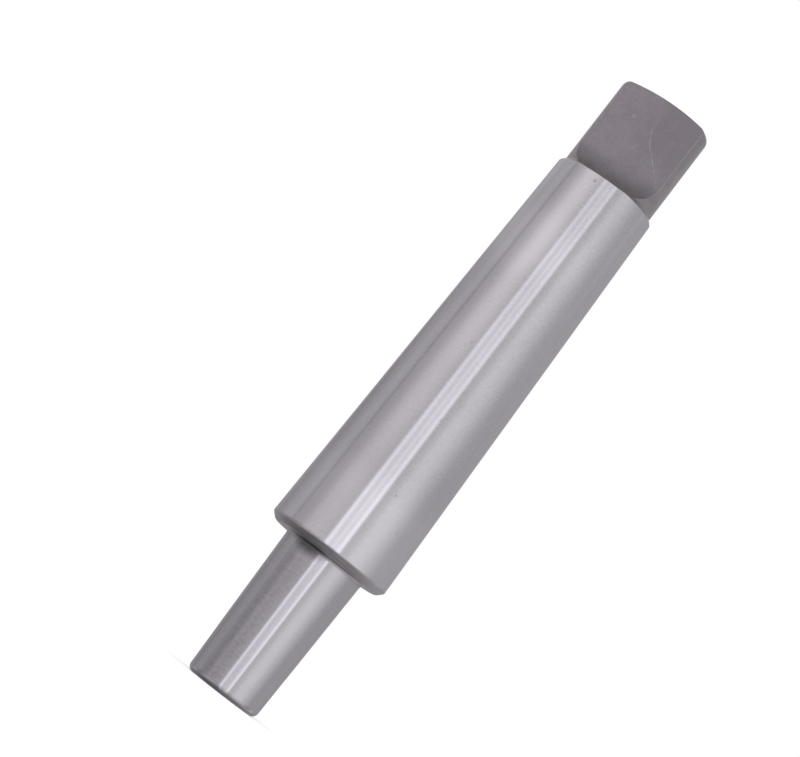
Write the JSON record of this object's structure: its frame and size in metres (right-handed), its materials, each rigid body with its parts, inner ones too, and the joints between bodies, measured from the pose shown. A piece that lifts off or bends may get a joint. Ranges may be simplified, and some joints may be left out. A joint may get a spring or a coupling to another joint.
{
  "type": "drill chuck arbor",
  "caption": "One-piece steel arbor: a long self-holding taper shank with a flat milled tang, and a short taper that carries a drill chuck.",
  "frame": {"origin": "centre of the small end face of the chuck taper, on which the arbor stands", "axes": "+Z along the axis towards the tang; the tang's flats face -Y and +Y"},
  "size_m": [0.024, 0.024, 0.1303],
  "materials": {
    "steel": "fine ground tapers, turned chamfers, matt unground tang"
  },
  "bodies": {
    "root": {"arbor": "steel"}
  },
  "joints": []
}
